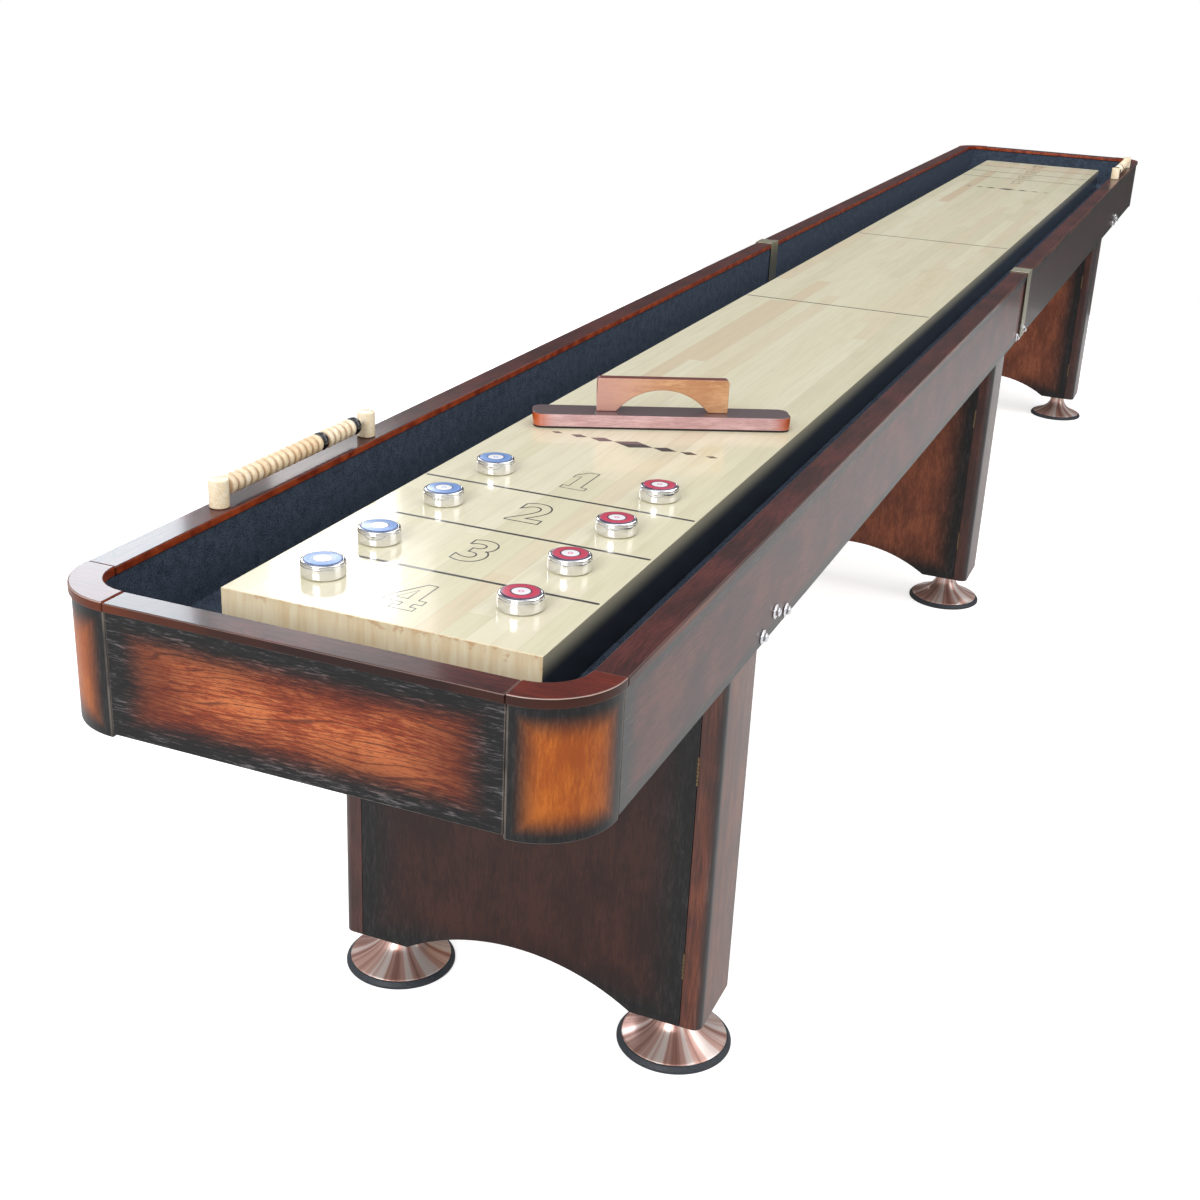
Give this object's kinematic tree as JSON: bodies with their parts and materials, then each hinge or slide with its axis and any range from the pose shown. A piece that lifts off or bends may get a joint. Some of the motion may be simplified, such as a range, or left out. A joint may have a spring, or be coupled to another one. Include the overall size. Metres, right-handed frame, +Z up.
{
  "type": "shuffleboard table",
  "caption": "Long table shuffleboard: railed cabinet with carpeted gutters, maple playfield, boxed arch pedestals on leveling feet, bead scorers, sliding pucks and a board sweep.",
  "frame": {"origin": "on the floor under the middle of the table", "axes": "+Z up, +Y along the table from the near end to the far end, +X towards the right-hand rail seen from the near end"},
  "size_m": [0.6196, 4.88, 0.8243],
  "materials": {
    "mahogany_rail": "satin lacquer",
    "burst_cherry": "satin lacquer, darkened at the edges",
    "gutter_carpet": "low-pile carpet glued on board",
    "maple_playfield": "high-gloss lacquer",
    "dark_walnut": "satin lacquer, darkened at the edges",
    "pedestal_cherry": "satin lacquer",
    "brushed_copper": "spun copper plate",
    "satin_nickel": "brushed",
    "polished_steel": "polished",
    "pale_maple": "clear lacquer",
    "puck_red": "polished steel with a red cap",
    "puck_blue": "polished steel with a blue cap",
    "mahogany_sweep": "satin lacquer",
    "black_rubber": "matt",
    "black_paint": "printed line under lacquer",
    "puck_cap_white": "gloss"
  },
  "bodies": {
    "table": {"corner_block_far_left": "burst_cherry", "corner_block_far_right": "burst_cherry", "corner_block_near_left": "burst_cherry", "corner_block_near_right": "burst_cherry", "corner_cap_far_left": "mahogany_rail", "corner_cap_far_right": "mahogany_rail", "corner_cap_near_left": "mahogany_rail", "corner_cap_near_right": "mahogany_rail", "cradle_floor_far": "gutter_carpet", "cradle_floor_near": "gutter_carpet", "end_apron_far": "burst_cherry", "end_apron_near": "burst_cherry", "end_cap_far": "mahogany_rail", "end_cap_near": "mahogany_rail", "joint_saddle_left": "satin_nickel", "joint_saddle_right": "satin_nickel", "pedestal_far_back_panel": "dark_walnut", "pedestal_far_front_panel": "dark_walnut", "pedestal_far_left_board": "pedestal_cherry", "pedestal_far_right_board": "pedestal_cherry", "pedestal_middle_back_panel": "dark_walnut", "pedestal_middle_front_panel": "dark_walnut", "pedestal_middle_left_board": "pedestal_cherry", "pedestal_middle_right_board": "pedestal_cherry", "pedestal_near_back_panel": "dark_walnut", "pedestal_near_front_panel": "dark_walnut", "pedestal_near_left_board": "pedestal_cherry", "pedestal_near_right_board": "pedestal_cherry", "playfield": "maple_playfield", "scorer_far_inner_post": "pale_maple", "scorer_far_outer_post": "pale_maple", "scorer_far_rod": "polished_steel", "scorer_near_inner_post": "pale_maple", "scorer_near_outer_post": "pale_maple", "scorer_near_rod": "polished_steel", "side_apron_left_far": "burst_cherry", "side_apron_left_near": "burst_cherry", "side_apron_right_far": "burst_cherry", "side_apron_right_near": "burst_cherry", "side_cap_left_far": "mahogany_rail", "side_cap_left_near": "mahogany_rail", "side_cap_right_far": "mahogany_rail", "side_cap_right_near": "mahogany_rail"},
    "leveler_near_left": {"leveler_near_left": "brushed_copper"},
    "leveler_near_right": {"leveler_near_right": "brushed_copper"},
    "leveler_middle_left": {"leveler_middle_left": "brushed_copper"},
    "leveler_middle_right": {"leveler_middle_right": "brushed_copper"},
    "leveler_far_left": {"leveler_far_left": "brushed_copper"},
    "leveler_far_right": {"leveler_far_right": "brushed_copper"},
    "scorer_near_beads": {"scorer_near_beads": "pale_maple"},
    "scorer_far_beads": {"scorer_far_beads": "pale_maple"},
    "puck_red_1": {"puck_red_1": "puck_red"},
    "puck_red_2": {"puck_red_2": "puck_red"},
    "puck_red_3": {"puck_red_3": "puck_red"},
    "puck_red_4": {"puck_red_4": "puck_red"},
    "puck_blue_1": {"puck_blue_1": "puck_blue"},
    "puck_blue_2": {"puck_blue_2": "puck_blue"},
    "puck_blue_3": {"puck_blue_3": "puck_blue"},
    "puck_blue_4": {"puck_blue_4": "puck_blue"},
    "board_sweep": {"board_sweep": "mahogany_sweep"}
  },
  "joints": [
    {"name": "leveler_near_left_screw_out", "type": "slide", "parent": "table", "child": "leveler_near_left", "axis": [0, 0, -1], "range_m": [0, 0.02]},
    {"name": "leveler_near_right_screw_out", "type": "slide", "parent": "table", "child": "leveler_near_right", "axis": [0, 0, -1], "range_m": [0, 0.02]},
    {"name": "leveler_middle_left_screw_out", "type": "slide", "parent": "table", "child": "leveler_middle_left", "axis": [0, 0, -1], "range_m": [0, 0.02]},
    {"name": "leveler_middle_right_screw_out", "type": "slide", "parent": "table", "child": "leveler_middle_right", "axis": [0, 0, -1], "range_m": [0, 0.02]},
    {"name": "leveler_far_left_screw_out", "type": "slide", "parent": "table", "child": "leveler_far_left", "axis": [0, 0, -1], "range_m": [0, 0.02]},
    {"name": "leveler_far_right_screw_out", "type": "slide", "parent": "table", "child": "leveler_far_right", "axis": [0, 0, -1], "range_m": [0, 0.02]},
    {"name": "scorer_near_beads_slide", "type": "slide", "parent": "table", "child": "scorer_near_beads", "axis": [0, 1, 0], "range_m": [0, 0.0145]},
    {"name": "scorer_far_beads_slide", "type": "slide", "parent": "table", "child": "scorer_far_beads", "axis": [0, -1, 0], "range_m": [0, 0.0145]},
    {"name": "puck_red_1_slide", "type": "slide", "parent": "table", "child": "puck_red_1", "axis": [0, 1, 0], "range_m": [-0.0766, 0.0386]},
    {"name": "puck_red_2_slide", "type": "slide", "parent": "table", "child": "puck_red_2", "axis": [0, 1, 0], "range_m": [-0.0386, 0.0431]},
    {"name": "puck_red_3_slide", "type": "slide", "parent": "table", "child": "puck_red_3", "axis": [0, 1, 0], "range_m": [-0.0431, 0.0461]},
    {"name": "puck_red_4_slide", "type": "slide", "parent": "table", "child": "puck_red_4", "axis": [0, 1, 0], "range_m": [-0.0461, 0.317]},
    {"name": "puck_blue_1_slide", "type": "slide", "parent": "table", "child": "puck_blue_1", "axis": [0, 1, 0], "range_m": [-0.0586, 0.0351]},
    {"name": "puck_blue_2_slide", "type": "slide", "parent": "table", "child": "puck_blue_2", "axis": [0, 1, 0], "range_m": [-0.0351, 0.0536]},
    {"name": "puck_blue_3_slide", "type": "slide", "parent": "table", "child": "puck_blue_3", "axis": [0, 1, 0], "range_m": [-0.0536, 0.0471]},
    {"name": "puck_blue_4_slide", "type": "slide", "parent": "table", "child": "puck_blue_4", "axis": [0, 1, 0], "range_m": [-0.0471, 0.2]},
    {"name": "board_sweep_slide", "type": "slide", "parent": "table", "child": "board_sweep", "axis": [0, 1, 0], "range_m": [0, 3.6]}
  ]
}
